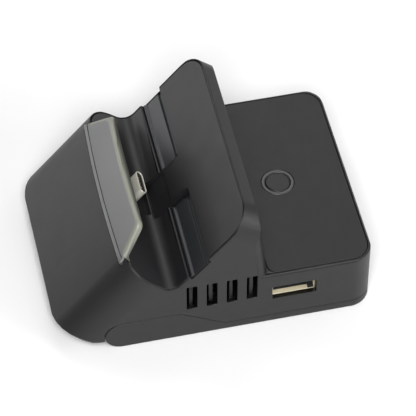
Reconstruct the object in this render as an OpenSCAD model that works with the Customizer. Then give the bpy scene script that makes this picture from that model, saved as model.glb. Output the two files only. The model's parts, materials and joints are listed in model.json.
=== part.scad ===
// Handheld console dock: a slanted cradle with a plug, a flat rear deck with a
// mode button, and sockets in the side and rear walls.
// X runs across the cradle, Y from the skirt to the rear, Z up.
// The origin lies on the table, under the middle of the housing.

/* [Housing] */
// Width of the housing across the cradle
body_w = 69.8; // [62:0.1:80]
// Depth of the housing from the skirt to the rear wall
body_d = 95.8; // [92:0.1:102]
// Height of the deck above the table
deck_h = 21.9; // [20:0.1:26]
// Wall thickness of the housing
wall = 1.65; // [1.4:0.05:2]
// Corner radius of the rear corners seen from above
rear_r = 6.75; // [4:0.25:9]
// Height of the joint between housing and bottom cover
seam_h = 3.1; // [2.6:0.1:3.6]
// Visible joint between two mouldings
seam = 0.2; // [0.1:0.05:0.3]

/* [Cradle] */
// Tilt of the back rest from the table, in degrees
tilt = 50; // [46:1:54]
// Height of the lower end of the back rest
rest_z = 34.85; // [34:0.1:36]
// Length of the back rest up its slope
rest_len = 18.3; // [16:0.1:20]
// Corner radius at the top of the back rest
rest_r = 8.5; // [6:0.5:10]
// Thickness of the back rest panel
rest_t = 2; // [1.6:0.1:2.4]
// Width of the housing's top face behind the back rest
crest_w = 4.4; // [3.6:0.1:5.4]
// Clear width of the console slot
slot_w = 15.45; // [14.5:0.05:16.5]
// Depth of the console slot below the back rest
slot_deep = 17.2; // [15:0.1:18.5]
// Inside radius at the foot of the slot's rear wall
slot_r = 3.8; // [2.5:0.1:5]
// Thickness of the slot floor
floor_t = 1.8; // [1.4:0.1:2.2]

/* [Skirt] */
// Thickness of the front wall with the light bar
lip_t = 2.25; // [1.8:0.05:2.6]
// Crown radius across the skirt
crown_r = 300; // [220:10:600]
// Corner radius between the skirt and the sides
skirt_r = 10; // [7:0.5:12]
// Radius of the lower front edge
hem_r = 3; // [2:0.25:4]
// Height of the skirt's underside
hem_z = 4; // [3.5:0.1:5]
// Width of the rounded corners at the skirt's lower edge
chin_w = 20; // [14:0.5:22]
// Depth of those corners
chin_d = 7.6; // [5:0.2:9]
// Slope of the chin under those corners, in degrees
chin_tilt = 45; // [40:1:50]

/* [Light bar] */
// Half length of the light bar's top edge
bar_top = 20.4; // [17:0.1:22]
// Half length of the light bar's lower edge
bar_low = 26.9; // [25:0.1:29]
// Depth of the light bar's top edge below the back rest
bar_s1 = 7.9; // [6.5:0.1:9]
// Depth of the light bar's lower edge below the back rest
bar_s0 = 19.6; // [18.8:0.1:20.5]
// Height of the light bar above the skirt
bar_proud = 0.35; // [0.2:0.05:0.5]
// Length of the light bar's foot inside the housing
foot_len = 5; // [4:0.25:6]
// Distance of the light bar's foot inside the ends of the plug board
foot_in = 1.5; // [1:0.1:3]

/* [Rest pads] */
// Distance of each pad from the middle
pad_x0 = 6.8; // [6:0.1:8]
// Top edge of the pad recess below the back rest's origin
pad_s1 = 0.9; // [0.5:0.1:1.5]
// Lower edge of the pad recess
pad_s0 = 9.8; // [9:0.1:10.5]
// Depth of the pad recess
pad_deep = 2.3; // [1.9:0.1:2.6]
// Thickness of each pad
pad_t = 1; // [0.8:0.05:1.2]
// Open gap above each pad and at its inner end
pad_gap = 0.8; // [0.4:0.1:1.2]
// Height of the bead along the pad's lower edge
bead_h = 0.7; // [0.4:0.05:0.9]
// Width of the bead
bead_w = 1.3; // [1:0.05:1.6]

/* [Deck] */
// Margin of bare housing around the inlaid deck plate
deck_rim = 1; // [0.8:0.1:1.5]
// Thickness of the inlaid deck plate
deck_t = 1.1; // [0.9:0.05:1.3]
// Thickness of the housing wall under the deck plate
deck_wall = 1.6; // [1.2:0.1:2]
// Corner radius at the front of the deck plate
deck_r1 = 3; // [2:0.5:5]
// Radius along the housing's upper edges
edge_r = 1; // [0.6:0.1:1.4]
// Lean of the wall behind the back rest, in degrees
back_lean = 5.9; // [4:0.1:7]
// Corner radius of that wall seen from above
back_r = 3; // [2:0.25:4]

/* [Bottom cover] */
// Distance from the skirt's front edge to the cover's rounded nose
nose_gap = 13.9; // [13:0.1:15]
// Height of the cover's nose
nose_h = 10.9; // [10:0.1:12]
// Thickness of the nose wall
nose_wall = 3; // [2.4:0.1:3.6]
// Length of the cover's raised front part
nose_len = 22.8; // [20:0.1:25]
// Slope behind the raised part, in degrees
step_tilt = 30; // [25:1:40]
// Radius where that slope starts and ends
step_r = 4; // [2:0.5:6]
// Thickness of the cover's floor
base_t = 1.8; // [1.5:0.1:2.2]

/* [Vents] */
// Number of vents in each side
vent_count = 4; // [3:1:5]
// Width of each vent
vent_w = 3.14; // [2.6:0.02:3.6]
// Height of each vent
vent_h = 10; // [8:0.1:10.5]
// Distance from vent to vent
vent_pitch = 6.04; // [5.6:0.02:6.4]
// Distance from the last vent to the side socket's window
vent_gap = 4.7; // [4:0.1:6]
// Height of the vents' lower edge
vent_z = 12.84; // [12.5:0.02:13.2]
// Width of the bar behind each vent
vent_bar = 1.2; // [1:0.1:2]
// Depth of the bar behind each vent
vent_bar_t = 1; // [0.8:0.1:1.4]

/* [Mode button] */
// Place of the button's axis on the deck, from its front to the rear wall
button_share = 0.341; // [0.3:0.001:0.45]
// Radius of the button's cap
button_r = 3.8; // [3.4:0.05:4.2]
// Running gap round the cap
button_gap = 0.1; // [0.08:0.01:0.15]
// Width of the ring round the button
ring_w = 1.1; // [0.9:0.05:1.4]
// Height of the ring
ring_t = 1.9; // [1.7:0.05:2.1]
// Travel of the button
button_travel = 0.5; // [0.3:0.05:0.6]
// Thickness of the flange under the cap
flange_t = 0.9; // [0.7:0.05:1.1]
// Overhang of the flange under the cap
flange_w = 0.8; // [0.6:0.05:1]
// Free height between the flange and the wall above it
flange_gap = 0.1; // [0.05:0.05:0.2]

/* [Push switch] */
// Side of the switch housing
switch_w = 6; // [5:0.1:7]
// Height of the switch housing
switch_h = 3.4; // [3:0.1:3.8]
// Radius of the switch plunger
plunger_r = 1.7; // [1.4:0.05:2]
// Height of the plunger above the switch housing
plunger_out = 0.9; // [0.8:0.05:1.2]
// Length of the plunger inside the switch housing
plunger_in = 0.8; // [0.6:0.05:1]
// Radial clearance of the plunger
plunger_gap = 0.05; // [0.03:0.01:0.08]

/* [Plug] */
// Width of the plug
plug_w = 8.34; // [8.2:0.02:8.4]
// Thickness of the plug
plug_t = 2.56; // [2.4:0.02:2.6]
// Wall of the plug's metal shell
plug_wall = 0.3; // [0.25:0.05:0.35]
// Height of the plug above the slot floor
plug_out = 7; // [6.5:0.1:7.4]
// Distance from the back rest to the plug's middle
plug_n = 8.5; // [7.4:0.1:9]
// Width of the plug's mouth
mouth_w = 6.7; // [6.5:0.05:6.8]
// Height of the plug's mouth
mouth_t = 1; // [0.8:0.05:1.2]
// Depth of the plug's mouth
mouth_deep = 5; // [4:0.1:6]
// Half width of the well round the plug
well_x = 5.4; // [5:0.1:6.5]
// Depth of the well below the slot floor
well_deep = 1.6; // [1:0.1:3]
// Half width of the pocket in the slot's rear wall behind the plug
arch_x = 7.2; // [6.8:0.1:7.6]
// Depth of that pocket
arch_deep = 0.9; // [0.6:0.05:1.2]
// Distance of the pocket's top below the back rest's origin
arch_s = 8.4; // [8:0.1:9.5]
// Radius of the pocket's upper corners
arch_r = 2.8; // [2:0.1:4.5]
// Gap between the plug and the floor of the well
plug_gap = 0.15; // [0.1:0.05:0.3]

/* [Plug board] */
// Distance of the plug board below the slot floor
plug_board_s = 8.8; // [8:0.1:10]
// Thickness of the small circuit boards
small_pcb_t = 1; // [0.8:0.1:1.2]
// Gap between the plug board and the bosses beside it
plug_board_gap = 2; // [1.5:0.1:3]
// Width of the block that holds the plug
holder_w = 12; // [11:0.5:14]
// Thickness of the block that holds the plug
holder_t = 5.6; // [5:0.1:6.5]
// Number of lamps under the light bar
led_count = 5; // [3:1:7]
// Length of each lamp
led_len = 3; // [2:0.1:3.5]
// Height of each lamp
led_h = 0.7; // [0.5:0.05:0.9]

/* [Side socket] */
// Distance from the rear wall to the side socket's middle
port_back = 24.5; // [23:0.1:26]
// Distance from the deck down to the side socket's middle
port_drop = 8.5; // [8:0.05:9]
// Width of the side socket's shell
port_w = 13.14; // [13:0.02:13.3]
// Height of the side socket's shell
port_h = 5.72; // [5.6:0.02:5.8]
// Depth of the side socket
port_deep = 14; // [13:0.5:18]
// Sheet thickness of the socket shells
socket_wall = 0.35; // [0.3:0.05:0.4]
// Width of the window in front of the side socket
port_win_w = 13.4; // [13.2:0.05:13.8]
// Height of the window in front of the side socket
port_win_h = 5.3; // [5.1:0.05:5.6]
// Thickness of the side socket's tongue
port_tongue_t = 1.85; // [1.7:0.05:2]
// Width of the side socket's tongue
port_tongue_w = 11.1; // [10.8:0.1:11.4]

/* [Rear sockets] */
// Gap between the display socket and the boss beside it
display_gap = 2; // [1.5:0.1:3]
// Width of the display socket
display_w = 15; // [14.8:0.05:15.2]
// Height of the display socket
display_h = 5.6; // [5.5:0.05:5.9]
// Narrowing of the display socket's lower corners
display_cut = 1.9; // [1.6:0.1:2.2]
// Depth of the display socket
display_deep = 11.5; // [10:0.5:13]
// Offset of the power inlet from the middle
inlet_x = 13; // [11:0.5:15]
// Width of the power inlet
inlet_w = 8.94; // [8.9:0.02:9]
// Height of the power inlet
inlet_h = 3.26; // [3.2:0.02:3.3]
// Depth of the power inlet
inlet_deep = 7.3; // [6.5:0.1:9]
// Gap round a rear socket in its window
window_gap = 0.35; // [0.25:0.05:0.5]
// Thickness of the rear sockets' tongues
tongue_t = 0.7; // [0.6:0.05:0.8]

/* [Main board] */
// Thickness of the main board
pcb_t = 1.2; // [1:0.1:1.6]
// Gap between the main board and the side walls
pcb_gap = 1.6; // [1.2:0.1:2.4]
// Front edge of the main board from the middle of the housing
pcb_y0 = -6; // [-8:0.5:-4]
// Side of the main chip
chip_w = 10; // [8:0.5:12]
// Height of the chips
chip_h = 1; // [0.8:0.1:1.2]
// Height of the ribbon connectors
conn_h = 1.2; // [1:0.1:1.5]
// Depth of the ribbon connectors
conn_w = 3; // [2.5:0.1:3.5]
// Bend radius of the ribbon
ribbon_r = 8; // [6:0.5:10]
// Width of the ribbon
ribbon_w = 12; // [10:0.5:14]
// Thickness of the ribbon
ribbon_t = 0.3; // [0.2:0.05:0.4]

/* [Fasteners and feet] */
// Radius of the screw bosses
boss_r = 2.5; // [2.2:0.1:2.8]
// Radius of the pilot holes in the bosses
pilot_r = 0.95; // [0.85:0.05:1]
// Radius of the screw shanks
screw_r = 0.9; // [0.8:0.05:0.95]
// Radius of the screw heads
head_r = 1.9; // [1.7:0.05:2.1]
// Height of the screw heads
head_h = 1; // [0.8:0.1:1.2]
// Length of the cover screws
screw_len = 8; // [7:0.5:10]
// Distance of the cover screws from the side walls
screw_side = 9.9; // [9:0.1:11]
// Distance of the rear screws from the rear wall
screw_back = 8; // [7:0.5:9]
// Height of the feet below the cover
foot_out = 0.4; // [0.3:0.05:0.6]
// Depth of the feet's seats in the cover
foot_seat = 0.6; // [0.4:0.1:0.8]
// Radius of the feet
foot_r = 4.5; // [4:0.25:5.5]

/* [Details] */
// Width of the housing's rim round the inner mouldings
rim = 0.65; // [0.5:0.05:0.8]
// Root of the light bar under the slot floor's front edge
bar_root = 1; // [0.8:0.1:1.3]
// Extra half length of the light bar at its inner face
bar_flare = 2.2; // [1.5:0.1:2.6]
// Corner radius of the light bar's upper corners
bar_r = 2.6; // [1.5:0.1:3.5]
// Width and depth of the line along the light bar's lower edge
bar_line = 0.35; // [0.25:0.05:0.5]
// Clearance round parts that are pushed into a seat
fit = 0.1; // [0.05:0.05:0.15]
// Overrun of every cut
over = 1; // [0.5:0.5:2]

/* [Hidden] */
$fn = 48;

// Steps along an arc in an outline
steps = 8;
// Steps across the skirt's crown
crown_steps = 12;

half_w = body_w / 2;
half_d = body_d / 2;

// Points are rounded to this grid, so that faces in one plane meet exactly
grid = 0.000001;

// Line of the skirt and of the back rest, in the frame of the back rest
skirt_n = slot_w + lip_t;
hem_y = hem_r - half_d;
hem_c = hem_z + hem_r;
hem_n = skirt_n - hem_r;
hem_s = (hem_c - rest_z - hem_n * cos(tilt)) / sin(tilt);
rest_y = hem_y - hem_s * cos(tilt) + hem_n * sin(tilt);
corner_x = half_w - skirt_r;
corner_n = skirt_n - crown_r + sqrt((crown_r - skirt_r) ^ 2 - corner_x ^ 2);
crown_a = asin(corner_x / (crown_r - skirt_r));

// Front of the chin, square to its slope
chin_front = hem_y * cos(chin_tilt) + hem_c * sin(chin_tilt) - hem_r - fit;

// Top of the wall behind the back rest, and its foot on the deck
crest = at(rest_len, -crest_w);
deck_y = crest.x + (crest.y - deck_h) * tan(back_lean);
deck_under = deck_h - deck_t - deck_wall;

// Bottom cover
nose_y = nose_gap - half_d;
nose_r = (nose_h - foot_out) / 2;
nose_top = nose_y + nose_len;
step_end = nose_top + (nose_h - seam_h) / tan(step_tilt);
base_z = foot_out + base_t;

// Slot floor, pads and the insert's section
floor_s = -slot_deep;
ledge_t = pad_deep + floor_t * 2 / 3;
insert_w = half_w - rim;

// Button and switch, from the deck down
button_y = deck_y + (half_d - deck_y) * button_share;
ring_in = button_r + button_gap;
ring_out = ring_in + ring_w;
flange_top = deck_under - flange_gap;
plunger_top = flange_top - flange_t;
switch_top = plunger_top - plunger_out;
switch_z = switch_top - switch_h;

// Boards
port_z = deck_h - port_drop;
pcb_top = port_z - port_h / 2;
pcb_x = half_w - wall - pcb_gap;
pcb_y1 = half_d - wall - pcb_gap;
plug_s = floor_s - plug_board_s;
port_y = half_d - port_back;
vent_y = port_y - port_win_w / 2 - vent_gap - vent_w - (vent_count - 1) * vent_pitch;
screw_x = half_w - screw_side;
plug_board_x = screw_x - boss_r - plug_board_gap;
foot_half = plug_board_x - foot_in;
display_x = display_w / 2 + display_gap + boss_r - screw_x;
screw_back_y = half_d - screw_back;
screw_front_y = nose_y + nose_r + boss_r / 10;
post_x = screw_x + head_r * 3 / 2;
post_y = [pcb_y0 + head_r * 3, screw_back_y - boss_r * 3];
plug_post_x = plug_board_x - boss_r * 9 / 5;
switch_post_x = switch_w * 3 / 2;
cover_points = [for (x = [-1, 1], y = [screw_front_y, screw_back_y]) [x * screw_x, y]];
post_points = [for (x = [-1, 1], y = post_y) [x * post_x, y]];
foot_y = [nose_top - foot_r, screw_back_y - 3 * foot_r];
foot_points = [for (x = [-1, 1], y = foot_y) [x * screw_x, y]];
plug_points = [for (x = [-1, 1]) [x * plug_post_x, plug_n]];

// Ribbon: down and back from the plug board, then level to the main board
ribbon_n = plug_n - conn_w;
ribbon_s = plug_s - small_pcb_t - conn_h / 2;
ribbon_z = pcb_top + conn_h / 2;
ribbon_y = pcb_y0 + conn_w / 2;
ribbon_a = 90 - tilt;
ribbon_drop = at(ribbon_s, ribbon_n).y - ribbon_z - ribbon_r * (1 - cos(ribbon_a));
ribbon_knee = at(ribbon_s, ribbon_n) + [ribbon_drop / tan(ribbon_a), -ribbon_drop];

function unit(v) = v / norm(v);

function snap(v) = is_list(v) ? [for (x = v) snap(x)] : round(v / grid) * grid;

// Points of an elliptic arc round a centre
function arc(c, rx, ry, a0, a1, n = steps) =
    [for (i = [0 : n]) let(a = a0 + (a1 - a0) * i / n) snap(c + [rx * cos(a), ry * sin(a)])];

// An outline moved inwards; its points run anticlockwise
function inset(p, t) = [
    for (i = [0 : len(p) - 1])
        let(
            u = unit(p[i] - p[(i + len(p) - 1) % len(p)]),
            v = unit(p[(i + 1) % len(p)] - p[i])
        )
        p[i] + [-u.y - v.y, u.x + v.x] * t / (1 + u * v)
];

// Outline with a straight foot at low and two round corners at top
function gate(hw, top, rx, ry, low) = concat(
    [[snap(hw), low]],
    arc([hw - rx, top - ry], rx, ry, 0, 90),
    arc([rx - hw, top - ry], rx, ry, 90, 180),
    [[-snap(hw), low]]
);

// A radius that follows a wall inwards, limited to a quarter of its size
function within(r, t) = max(r - t, r / 4);

// A point of the housing's side view, given along and off the back rest
function at(s, n) = [rest_y + s * cos(tilt) - n * sin(tilt), rest_z + s * sin(tilt) + n * cos(tilt)];

// Side view of the housing, before the slot is cut; only its outside has a rounded edge
function side_outline(t) = let(c = [half_d - edge_r, deck_h - edge_r]) concat(
    [[half_d, 0]],
    t > 0 ? [[half_d, deck_h]] : arc(c, edge_r, edge_r, 0, 90, steps / 2),
    [[deck_y, deck_h], crest, at(rest_len, slot_r), at(0, slot_r), at(-bar_s1, skirt_n)],
    arc([hem_y, hem_c], hem_r, hem_r, 90 + tilt, 180),
    arc([hem_y, hem_c], hem_r, hem_r, 190, 270),
    [[nose_y + nose_r, hem_z], [nose_y + nose_r, 0]]
);

// Side view of the bottom cover
cover_outline = concat(
    [[half_d, foot_out], [half_d, seam_h]],
    arc([step_end + step_r * tan(step_tilt / 2), seam_h + step_r], step_r, step_r, 270, 270 - step_tilt),
    arc([nose_top - step_r * tan(step_tilt / 2), nose_h - step_r], step_r, step_r, 90 - step_tilt, 90),
    arc([nose_y + nose_r, foot_out + nose_r], nose_r, nose_r, 90, 270, 2 * steps)
);

// Skirt seen along its slope: a shallow crown between two round corners
function skirt_outline(t) = concat(
    [[snap(half_w - t), -body_d]],
    arc([corner_x, corner_n], skirt_r - t, skirt_r - t, 0, 90 - crown_a),
    arc([0, skirt_n - crown_r], crown_r - t, crown_r - t, 90 - crown_a, 90 + crown_a, crown_steps),
    arc([-corner_x, corner_n], skirt_r - t, skirt_r - t, 90 + crown_a, 180),
    [[snap(t - half_w), -body_d]]
);

// The chin seen along its slope: its rounded corners, open to the rear
function chin_outline(t) = let(c = [half_w - chin_w, chin_front + chin_d]) concat(
    [[snap(half_w - t), body_d], [snap(t - half_w), body_d]],
    arc([-c.x, c.y], chin_w - t, chin_d - t, 180, 270),
    arc(c, chin_w - t, chin_d - t, 270, 360)
);

// Section of the slot, open above, with the rim lowered beside the pads
slot_outline = concat(
    [[body_d, body_d], [floor_s, body_d]],
    arc([floor_s + slot_r, slot_r], slot_r, slot_r, 180, 270),
    [[-pad_s0, 0], [-pad_s0, pad_t - pad_deep], [-pad_s1, pad_t - pad_deep], [-pad_s1, 0], [body_d, 0]]
);

// Section of the cradle insert without the recess, reaching into the slot by e
function insert_outline(e) = concat(
    [[floor_s + e, skirt_n]],
    arc([floor_s + slot_r, slot_r], slot_r - e, slot_r - e, 180, 270),
    [
        [rest_len - rim, e], [rest_len - rim, -rest_t], [rest_t, -rest_t], [0, -ledge_t],
        [-pad_s0 - floor_t / 2, -ledge_t], [-pad_s0 - floor_t, -floor_t]
    ],
    arc([floor_s + slot_r, slot_r], slot_r + floor_t, slot_r + floor_t, 270, 180),
    [[floor_s - floor_t, skirt_n]]
);

// Places things in the frame of the back rest: X across, Y up its slope, Z off its face
module cradle() {
    translate([0, rest_y, rest_z]) rotate([tilt, 0, 0]) children();
}

// Extrudes a side view across the housing
module across(w) {
    rotate([90, 0, 90]) translate([0, 0, -w / 2]) linear_extrude(w) children();
}

// Extrudes a front view along Y, or up the slope in the frame of the back rest
module along(y0, y1) {
    translate([0, y1, 0]) rotate([90, 0, 0]) linear_extrude(y1 - y0) children();
}

module up(z0, z1) {
    translate([0, 0, z0]) linear_extrude(z1 - z0) children();
}

module both_sides() {
    children();
    mirror([1, 0, 0]) children();
}

// Flat oval with round ends
module oval(w, t) {
    square([w - t, t], center = true);
    for (x = [-1, 1]) translate([x * (w - t) / 2, 0]) circle(d = t);
}

module ring_2d(r_out, r_in) {
    difference() {
        circle(r_out);
        circle(r_in);
    }
}

// The housing's outer form, moved inwards by t
module form(t) {
    intersection() {
        across(2 * body_w) polygon(inset(side_outline(t), t));
        cradle() along(-body_d, body_d) polygon(skirt_outline(t));
        rotate([chin_tilt, 0, 0]) up(-body_d, body_d) polygon(chin_outline(t));
        union() {
            intersection() {
                up(-over, deck_h) polygon(gate(half_w - t, half_d - t, rear_r - t, rear_r - t, -body_d));
                along(-body_d, body_d)
                    polygon(gate(half_w - t, deck_h - t, within(edge_r, t), within(edge_r, t), -body_d));
            }
            intersection() {
                cradle() up(-body_d, body_d)
                    polygon(gate(half_w - t, rest_len - t, rest_r - t, rest_r - t, -body_d));
                translate([0, crest.x, crest.y]) rotate([back_lean, 0, 0]) up(-body_d, body_d)
                    polygon(gate(half_w - t, -t / cos(back_lean), back_r - t, back_r - t, -body_d));
            }
        }
    }
}

// Space inside the housing, with the deck's wall left in place
module cavity() {
    difference() {
        form(wall);
        translate([-half_w, deck_y - wall / cos(back_lean), deck_under]) cube([body_w, body_d, deck_h]);
    }
}

// The space that the cradle insert takes up, grown by g on its hidden sides
module insert_bed(g) {
    intersection() {
        cradle() across(2 * (insert_w + g)) polygon(insert_outline(g / 2));
        cradle() along(-body_d, body_d) polygon(skirt_outline(rim - g));
        cradle() up(-body_d, body_d)
            polygon(gate(insert_w + g, rest_len - rim + g, rest_r - rim + g, rest_r - rim + g, -body_d));
    }
}

// Front view of the light bar, with its ends moved out by e
function bar_outline(e, g) = let(
    low = -bar_s0 - g,
    lean = atan2(bar_low - bar_top, bar_s0 - bar_s1),
    c = [bar_top + e + g - bar_r * (1 - sin(lean)) / cos(lean), g - bar_s1 - bar_r]
) concat(
    [[-bar_low - e - g, low], [bar_low + e + g, low]],
    arc(c, bar_r, bar_r, lean, 90),
    arc([-c.x, c.y], bar_r, bar_r, 90, 180 - lean)
);

module bar_block(g) {
    intersection() {
        cradle() hull() {
            translate([0, 0, slot_w - bar_root - g]) up(0, fit) polygon(bar_outline(bar_flare, g));
            translate([0, 0, skirt_n + bar_proud]) up(0, g + fit) polygon(bar_outline(0, g));
        }
        cradle() along(-body_d, body_d) polygon(skirt_outline(-bar_proud - g));
    }
}

module boss(z0, z1, r, bore, deep) {
    difference() {
        up(z0, z1) circle(r);
        up(z0 - over, z0 + deep) circle(bore);
    }
}

// A box behind or in place of each vent, w wide, along the middle of the vent
module vent_row(w, z0, z1, x0, x1) {
    y = vent_y + (vent_w - w) / 2;
    for (i = [0 : vent_count - 1])
        translate([x0, y + i * vent_pitch, z0]) cube([x1 - x0, w, z1 - z0]);
}

module outer_shell() color([0.27, 0.27, 0.28]) {
    bar_x = half_w - wall - vent_bar_t;
    difference() {
        union() {
            difference() {
                form(0);
                cavity();
            }
            intersection() {
                form(wall / 2);
                both_sides() {
                    vent_row(vent_bar, vent_z - wall, vent_z + vent_h + wall / 2, bar_x, half_w);
                    translate([screw_x, screw_front_y, 0])
                        boss(base_z + base_t, crest.y, boss_r, pilot_r, screw_len);
                }
            }
            both_sides() translate([screw_x, screw_back_y, 0])
                boss(base_z + base_t, deck_under + fit, boss_r, pilot_r, screw_len);
            both_sides() translate([switch_post_x, button_y, 0])
                boss(switch_z, deck_under + fit, boss_r * 4 / 5, pilot_r, switch_h);
        }
        cradle() across(2 * body_w) polygon(slot_outline);
        insert_bed(seam);
        bar_block(seam);
        across(2 * body_w) polygon(inset(cover_outline, -seam));
        translate([-body_w, nose_y + nose_r - fit, -body_d]) cube([2 * body_w, 2 * body_d, body_d + seam_h]);
        up(deck_h - deck_t, deck_h + over) deck_shape(seam);
        translate([0, button_y, 0]) {
            up(deck_under - over, deck_h) circle(ring_in);
            up(deck_h - ring_t, deck_h + over) circle(ring_out + fit / 2);
        }
        both_sides() vent_row(vent_w, vent_z, vent_z + vent_h, half_w - wall, half_w + over);
        translate([half_w, port_y, port_z]) cube([2 * wall + fit, port_win_w, port_win_h], center = true);
        along(half_d - wall - fit, half_d + over) {
            translate([display_x, pcb_top + display_h / 2]) display_shape(window_gap);
            translate([inlet_x, pcb_top + inlet_h / 2])
                oval(inlet_w + 2 * window_gap, inlet_h + 2 * window_gap);
        }
    }
}

// Seen along the plug: the well in the slot floor
module well_shape(g) {
    translate([-well_x - g, -g]) square([2 * (well_x + g), plug_n + well_x * 2 / 3 + 2 * g]);
}

// Seen from the front: the pocket behind the plug
module arch_shape() {
    polygon(gate(arch_x, -arch_s, arch_r, arch_r, floor_s));
}

// The two recesses for the rest pads
module pad_bed() {
    both_sides() translate([pad_x0, -pad_s0]) square([body_w, pad_s0 - pad_s1]);
}

module cradle_insert() color([0.3, 0.3, 0.31]) {
    difference() {
        union() {
            insert_bed(0);
            cradle() along(floor_s - well_deep - floor_t, floor_s - floor_t / 2) well_shape(floor_t);
            cradle() up(-floor_t, 0) translate([-arch_x - floor_t, floor_s - floor_t])
                square([2 * (arch_x + floor_t), slot_r + 2 * floor_t]);
            cradle() both_sides() translate([plug_post_x, plug_s, plug_n]) rotate([-90, 0, 0])
                boss(0, plug_board_s - floor_t / 2, boss_r * 4 / 5, pilot_r, screw_len / 2);
        }
        bar_block(seam);
        cradle() {
            up(-pad_deep, over) pad_bed();
            along(floor_s - well_deep, floor_s + over) well_shape(0);
            up(-arch_deep, over) arch_shape();
            along(floor_s - body_d, floor_s) translate([0, plug_n])
                oval(plug_w + 2 * plug_gap, plug_t + 2 * plug_gap);
        }
    }
}

module light_bar() color([0.5, 0.51, 0.52]) {
    difference() {
        union() {
            difference() {
                bar_block(0);
                cradle() translate([-body_w, floor_s, slot_w - body_w]) cube([2 * body_w, slot_w, body_w]);
            }
            cradle() intersection() {
                translate([-foot_half, -bar_s0 - foot_len, slot_w - bar_root])
                    cube([2 * foot_half, foot_len + fit, lip_t]);
                along(-body_d, body_d) polygon(skirt_outline(wall + fit));
            }
        }
        intersection() {
            cradle() translate([-body_w, 4 * bar_line - bar_s0, slot_w])
                cube([2 * body_w, bar_line, body_w]);
            difference() {
                form(-body_w);
                cradle() along(-body_d, body_d) polygon(skirt_outline(bar_line - bar_proud));
            }
        }
    }
}

// One rest pad, to the right of the plug, with a bead along its lower edge
module rest_pad() {
    s0 = fit - pad_s0;
    s1 = -pad_gap - pad_s1;
    top = pad_t - pad_deep;
    cradle() intersection() {
        across(2 * body_w) polygon(concat(
            [[s1, -pad_deep], [s1, top], [s0 + bead_w, top]],
            arc([s0 + bead_w / 2, top], bead_w / 2, bead_h, 0, 180),
            [[s0, -pad_deep]]
        ));
        translate([pad_x0 + pad_gap, -pad_s0, -pad_deep])
            cube([insert_w - pad_x0 - pad_gap, pad_s0, 2 * pad_deep]);
    }
}

module rest_pad_right() color([0.22, 0.22, 0.23]) rest_pad();

module rest_pad_left() color([0.22, 0.22, 0.23]) mirror([1, 0, 0]) rest_pad();

// Outline of the inlaid deck plate, grown by g
module deck_shape(g) {
    x = half_w - deck_rim + g;
    y0 = deck_y + 2 * seam - g;
    y1 = half_d - deck_rim + g;
    r = rear_r - deck_rim + g;
    polygon(concat(
        arc([x - r, y1 - r], r, r, 0, 90),
        arc([r - x, y1 - r], r, r, 90, 180),
        arc([deck_r1 - x, y0 + deck_r1], deck_r1, deck_r1, 180, 270),
        arc([x - deck_r1, y0 + deck_r1], deck_r1, deck_r1, 270, 360)
    ));
}

module deck_plate() color([0.24, 0.24, 0.24]) {
    difference() {
        up(deck_h - deck_t, deck_h) deck_shape(0);
        translate([0, button_y, 0]) up(deck_h - deck_t - over, deck_h + over) circle(ring_out + fit / 2);
    }
}

module button_ring() color([0.45, 0.45, 0.46]) {
    translate([0, button_y, 0]) up(deck_h - ring_t, deck_h) ring_2d(ring_out, ring_in);
}

module mode_button() color([0.2, 0.2, 0.2]) {
    translate([0, button_y, 0]) {
        up(plunger_top, deck_h) circle(button_r);
        up(plunger_top, flange_top) circle(button_r + flange_w);
    }
}

module switch_plunger() color([0.15, 0.15, 0.15]) {
    translate([0, button_y, 0]) up(switch_top - plunger_in, plunger_top) circle(plunger_r);
}

module switch_housing() color([0.6, 0.6, 0.6]) {
    z = switch_top - plunger_in - button_travel - fit;
    difference() {
        translate([-switch_w / 2, button_y - switch_w / 2, switch_z]) cube([switch_w, switch_w, switch_h]);
        translate([0, button_y, 0]) up(z, switch_top + over) circle(plunger_r + plunger_gap);
    }
}

module button_board() color([0.1, 0.3, 0.2]) {
    x = switch_post_x + boss_r;
    difference() {
        translate([-x, button_y - switch_w, switch_z - small_pcb_t])
            cube([2 * x, 2 * switch_w, small_pcb_t]);
        both_sides() translate([switch_post_x, button_y, 0]) up(0, deck_h) circle(screw_r + fit);
    }
}

module bottom_cover() color([0.25, 0.25, 0.26]) {
    r = rear_r - wall;
    difference() {
        union() {
            difference() {
                intersection() {
                    across(body_w) polygon(cover_outline);
                    up(-over, body_d) polygon(gate(half_w, half_d, rear_r, rear_r, -body_d));
                }
                up(base_z, body_d) polygon(gate(half_w - wall, half_d - wall, r, r, nose_y + nose_wall));
            }
            up(base_z - fit, base_z + base_t - fit)
                for (p = cover_points) translate(p) circle(boss_r);
            up(base_z - fit, pcb_top - pcb_t)
                for (p = post_points) translate(p) circle(boss_r * 4 / 5);
        }
        for (p = cover_points) translate([p.x, p.y, 0]) {
            up(-over, base_z + body_d) circle(screw_r + fit);
            up(-over, foot_out + head_h + fit) circle(head_r + fit);
        }
        for (p = post_points) translate([p.x, p.y, 0]) up(base_z, body_d) circle(pilot_r);
        for (p = foot_points) translate([p.x, p.y, 0]) up(-over, foot_out + foot_seat) circle(foot_r + fit);
    }
}

// Things along the plug's axis, from s0 to s1 on the slope
module plug_axis(s0, s1) {
    cradle() along(s0, s1) translate([0, plug_n]) children();
}

module plug_shell() color([0.75, 0.75, 0.72]) {
    plug_axis(plug_s, floor_s + plug_out) difference() {
        oval(plug_w, plug_t);
        oval(plug_w - 2 * plug_wall, plug_t - 2 * plug_wall);
    }
}

module plug_liner() color([0.12, 0.12, 0.12]) {
    difference() {
        plug_axis(plug_s, floor_s + plug_out - plug_wall)
            oval(plug_w - 2 * plug_wall, plug_t - 2 * plug_wall);
        plug_axis(floor_s + plug_out - mouth_deep, floor_s + plug_out + over) oval(mouth_w, mouth_t);
    }
}

module plug_holder() color([0.15, 0.15, 0.15]) {
    plug_axis(plug_s, floor_s - well_deep - floor_t) difference() {
        square([holder_w, holder_t], center = true);
        oval(plug_w, plug_t);
    }
}

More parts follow.
